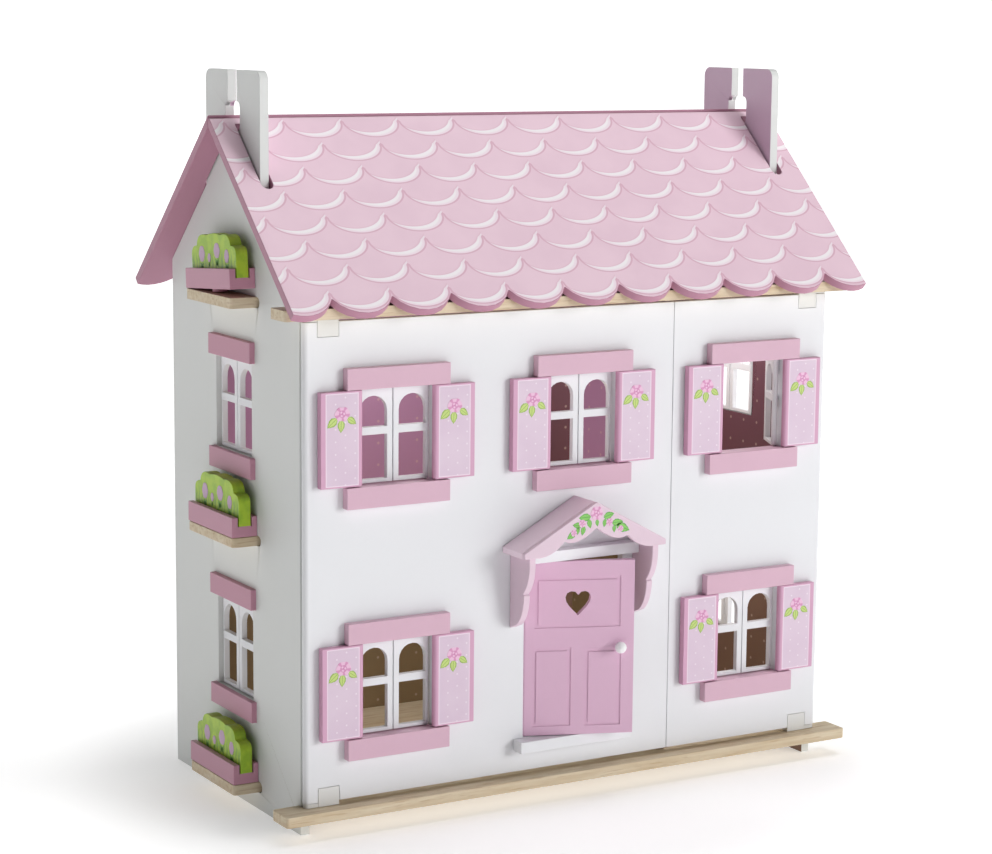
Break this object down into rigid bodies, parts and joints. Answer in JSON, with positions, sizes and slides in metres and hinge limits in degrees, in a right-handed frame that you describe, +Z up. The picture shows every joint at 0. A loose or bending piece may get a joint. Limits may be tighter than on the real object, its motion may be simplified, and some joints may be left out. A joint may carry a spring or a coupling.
{
  "type": "wooden dollhouse",
  "caption": "Three-storey wooden dollhouse with lift-up scalloped roof, swing-open front, shuttered casement windows, porch, front door and flower boxes.",
  "frame": {"origin": "centre of the bounding box, on the surface that the house stands on", "axes": "+X to the right seen from the front, +Y to the back, +Z up"},
  "size_m": [0.61, 0.3604, 0.6702],
  "materials": {
    "white_paint": "satin white paint on board",
    "white_plastic": "satin moulded pivot",
    "room_paint": "printed wallpaper on board",
    "beech": "clear matt lacquer on beech",
    "roof_print": "satin pink paint with printed fish-scale rows",
    "pink_paint": "satin pink paint",
    "pale_pink_paint": "satin pale pink paint",
    "shutter_print": "satin pale pink paint with printed dots and a rose",
    "door_paint": "satin pink paint",
    "bush_paint": "satin green paint with printed flowers"
  },
  "bodies": {
    "house": {"gable_left": "white_paint", "gable_right": "white_paint", "back_wall": "room_paint", "ground_floor": "beech", "first_floor": "beech", "attic_floor": "beech", "centre_partition": "room_paint"},
    "front_roof": {"front_roof": "roof_print"},
    "rear_roof": {"rear_roof": "roof_print"},
    "left_front": {"left_panel": "white_paint", "left_top_pivot": "white_plastic", "left_bottom_pivot": "white_plastic", "door_head": "white_paint", "door_step": "white_paint", "porch_roof": "pale_pink_paint", "porch_front": "pale_pink_paint", "porch_bracket_left": "pink_paint", "porch_bracket_right": "pink_paint", "upper_left_lintel": "pink_paint", "upper_left_sill": "pink_paint", "upper_centre_lintel": "pink_paint", "upper_centre_sill": "pink_paint", "lower_left_lintel": "pink_paint", "lower_left_sill": "pink_paint"},
    "right_front": {"right_panel": "white_paint", "right_top_pivot": "white_plastic", "right_bottom_pivot": "white_plastic", "upper_right_lintel": "pink_paint", "upper_right_sill": "pink_paint", "lower_right_lintel": "pink_paint", "lower_right_sill": "pink_paint"},
    "door": {"front_door": "door_paint", "door_knob": "white_paint"},
    "upper_left_shutter_left": {"upper_left_shutter_left": "shutter_print"},
    "upper_left_shutter_right": {"upper_left_shutter_right": "shutter_print"},
    "upper_left_casement_left": {"upper_left_casement_left": "white_paint"},
    "upper_left_casement_right": {"upper_left_casement_right": "white_paint"},
    "upper_centre_shutter_left": {"upper_centre_shutter_left": "shutter_print"},
    "upper_centre_shutter_right": {"upper_centre_shutter_right": "shutter_print"},
    "upper_centre_casement_left": {"upper_centre_casement_left": "white_paint"},
    "upper_centre_casement_right": {"upper_centre_casement_right": "white_paint"},
    "upper_right_shutter_left": {"upper_right_shutter_left": "shutter_print"},
    "upper_right_shutter_right": {"upper_right_shutter_right": "shutter_print"},
    "upper_right_casement_left": {"upper_right_casement_left": "white_paint"},
    "upper_right_casement_right": {"upper_right_casement_right": "white_paint"},
    "lower_left_shutter_left": {"lower_left_shutter_left": "shutter_print"},
    "lower_left_shutter_right": {"lower_left_shutter_right": "shutter_print"},
    "lower_left_casement_left": {"lower_left_casement_left": "white_paint"},
    "lower_left_casement_right": {"lower_left_casement_right": "white_paint"},
    "lower_right_shutter_left": {"lower_right_shutter_left": "shutter_print"},
    "lower_right_shutter_right": {"lower_right_shutter_right": "shutter_print"},
    "lower_right_casement_left": {"lower_right_casement_left": "white_paint"},
    "lower_right_casement_right": {"lower_right_casement_right": "white_paint"},
    "side_upper_casement_rear": {"side_upper_casement_rear": "white_paint"},
    "side_upper_casement_front": {"side_upper_casement_front": "white_paint"},
    "side_lower_casement_rear": {"side_lower_casement_rear": "white_paint"},
    "side_lower_casement_front": {"side_lower_casement_front": "white_paint"},
    "top_planter": {"top_planter": "pink_paint"},
    "middle_planter": {"middle_planter": "pink_paint"},
    "bottom_planter": {"bottom_planter": "pink_paint"}
  },
  "joints": [
    {"name": "front_roof_lift", "type": "hinge", "parent": "house", "child": "front_roof", "pos_m": [0, 0.00544, 0.6303], "axis": [-1, 0, 0], "range_deg": [0, 130]},
    {"name": "rear_roof_lift", "type": "hinge", "parent": "house", "child": "rear_roof", "pos_m": [0, 0.00544, 0.6303], "axis": [1, 0, 0], "range_deg": [0, 130]},
    {"name": "left_panel_swing", "type": "hinge", "parent": "house", "child": "left_front", "pos_m": [-0.27565, -0.13367, 0.244], "axis": [0, 0, -1], "range_deg": [0, 110]},
    {"name": "right_panel_swing", "type": "hinge", "parent": "house", "child": "right_front", "pos_m": [0.27565, -0.13367, 0.244], "axis": [0, 0, 1], "range_deg": [0, 110]},
    {"name": "door_swing", "type": "hinge", "parent": "left_front", "child": "door", "pos_m": [-0.0528, -0.13352, 0.1445], "axis": [0, 0, -1], "range_deg": [-21, 74]},
    {"name": "upper_left_shutter_left_swing", "type": "hinge", "parent": "left_front", "child": "upper_left_shutter_left", "pos_m": [-0.2302, -0.14272, 0.3553], "axis": [0, 0, 1], "range_deg": [0, 180]},
    {"name": "upper_left_shutter_right_swing", "type": "hinge", "parent": "left_front", "child": "upper_left_shutter_right", "pos_m": [-0.1528, -0.14272, 0.3553], "axis": [0, 0, -1], "range_deg": [0, 180]},
    {"name": "upper_left_casement_left_swing", "type": "hinge", "parent": "left_front", "child": "upper_left_casement_left", "pos_m": [-0.22555, -0.13167, 0.3553], "axis": [0, 0, 1], "range_deg": [0, 114]},
    {"name": "upper_left_casement_right_swing", "type": "hinge", "parent": "left_front", "child": "upper_left_casement_right", "pos_m": [-0.15745, -0.13167, 0.3553], "axis": [0, 0, -1], "range_deg": [0, 114]},
    {"name": "upper_centre_shutter_left_swing", "type": "hinge", "parent": "left_front", "child": "upper_centre_shutter_left", "pos_m": [-0.0377, -0.14272, 0.3553], "axis": [0, 0, 1], "range_deg": [0, 180]},
    {"name": "upper_centre_shutter_right_swing", "type": "hinge", "parent": "left_front", "child": "upper_centre_shutter_right", "pos_m": [0.0397, -0.14272, 0.3553], "axis": [0, 0, -1], "range_deg": [0, 180]},
    {"name": "upper_centre_casement_left_swing", "type": "hinge", "parent": "left_front", "child": "upper_centre_casement_left", "pos_m": [-0.03305, -0.13167, 0.3553], "axis": [0, 0, 1], "range_deg": [0, 114]},
    {"name": "upper_centre_casement_right_swing", "type": "hinge", "parent": "left_front", "child": "upper_centre_casement_right", "pos_m": [0.03505, -0.13167, 0.3553], "axis": [0, 0, -1], "range_deg": [0, 114]},
    {"name": "upper_right_shutter_left_swing", "type": "hinge", "parent": "right_front", "child": "upper_right_shutter_left", "pos_m": [0.1528, -0.14272, 0.3553], "axis": [0, 0, 1], "range_deg": [0, 180]},
    {"name": "upper_right_shutter_right_swing", "type": "hinge", "parent": "right_front", "child": "upper_right_shutter_right", "pos_m": [0.2302, -0.14272, 0.3553], "axis": [0, 0, -1], "range_deg": [0, 180]},
    {"name": "upper_right_casement_left_swing", "type": "hinge", "parent": "right_front", "child": "upper_right_casement_left", "pos_m": [0.15745, -0.13167, 0.3553], "axis": [0, 0, 1], "range_deg": [-114, 0]},
    {"name": "upper_right_casement_right_swing", "type": "hinge", "parent": "right_front", "child": "upper_right_casement_right", "pos_m": [0.22555, -0.13167, 0.3553], "axis": [0, 0, -1], "range_deg": [-114, 0]},
    {"name": "lower_left_shutter_left_swing", "type": "hinge", "parent": "left_front", "child": "lower_left_shutter_left", "pos_m": [-0.2292, -0.14272, 0.129], "axis": [0, 0, 1], "range_deg": [0, 180]},
    {"name": "lower_left_shutter_right_swing", "type": "hinge", "parent": "left_front", "child": "lower_left_shutter_right", "pos_m": [-0.1518, -0.14272, 0.129], "axis": [0, 0, -1], "range_deg": [0, 180]},
    {"name": "lower_left_casement_left_swing", "type": "hinge", "parent": "left_front", "child": "lower_left_casement_left", "pos_m": [-0.22455, -0.13167, 0.129], "axis": [0, 0, 1], "range_deg": [0, 114]},
    {"name": "lower_left_casement_right_swing", "type": "hinge", "parent": "left_front", "child": "lower_left_casement_right", "pos_m": [-0.15645, -0.13167, 0.129], "axis": [0, 0, -1], "range_deg": [0, 114]},
    {"name": "lower_right_shutter_left_swing", "type": "hinge", "parent": "right_front", "child": "lower_right_shutter_left", "pos_m": [0.1528, -0.14272, 0.134], "axis": [0, 0, 1], "range_deg": [0, 180]},
    {"name": "lower_right_shutter_right_swing", "type": "hinge", "parent": "right_front", "child": "lower_right_shutter_right", "pos_m": [0.2302, -0.14272, 0.134], "axis": [0, 0, -1], "range_deg": [0, 180]},
    {"name": "lower_right_casement_left_swing", "type": "hinge", "parent": "right_front", "child": "lower_right_casement_left", "pos_m": [0.15745, -0.13167, 0.134], "axis": [0, 0, 1], "range_deg": [0, 114]},
    {"name": "lower_right_casement_right_swing", "type": "hinge", "parent": "right_front", "child": "lower_right_casement_right", "pos_m": [0.22555, -0.13167, 0.134], "axis": [0, 0, -1], "range_deg": [0, 114]},
    {"name": "side_upper_casement_rear_swing", "type": "hinge", "parent": "house", "child": "side_upper_casement_rear", "pos_m": [-0.27365, 0.04103, 0.368], "axis": [0, 0, 1], "range_deg": [0, 114]},
    {"name": "side_upper_casement_front_swing", "type": "hinge", "parent": "house", "child": "side_upper_casement_front", "pos_m": [-0.27365, -0.02707, 0.368], "axis": [0, 0, -1], "range_deg": [0, 114]},
    {"name": "side_lower_casement_rear_swing", "type": "hinge", "parent": "house", "child": "side_lower_casement_rear", "pos_m": [-0.27365, 0.04103, 0.143], "axis": [0, 0, 1], "range_deg": [0, 114]},
    {"name": "side_lower_casement_front_swing", "type": "hinge", "parent": "house", "child": "side_lower_casement_front", "pos_m": [-0.27365, -0.02707, 0.143], "axis": [0, 0, -1], "range_deg": [0, 114]},
    {"name": "top_planter_take_off", "type": "slide", "parent": "house", "child": "top_planter", "axis": [-1, 0, 0], "range_m": [0, 0.08]},
    {"name": "middle_planter_take_off", "type": "slide", "parent": "house", "child": "middle_planter", "axis": [-1, 0, 0], "range_m": [0, 0.08]},
    {"name": "bottom_planter_take_off", "type": "slide", "parent": "house", "child": "bottom_planter", "axis": [-1, 0, 0], "range_m": [0, 0.08]}
  ]
}
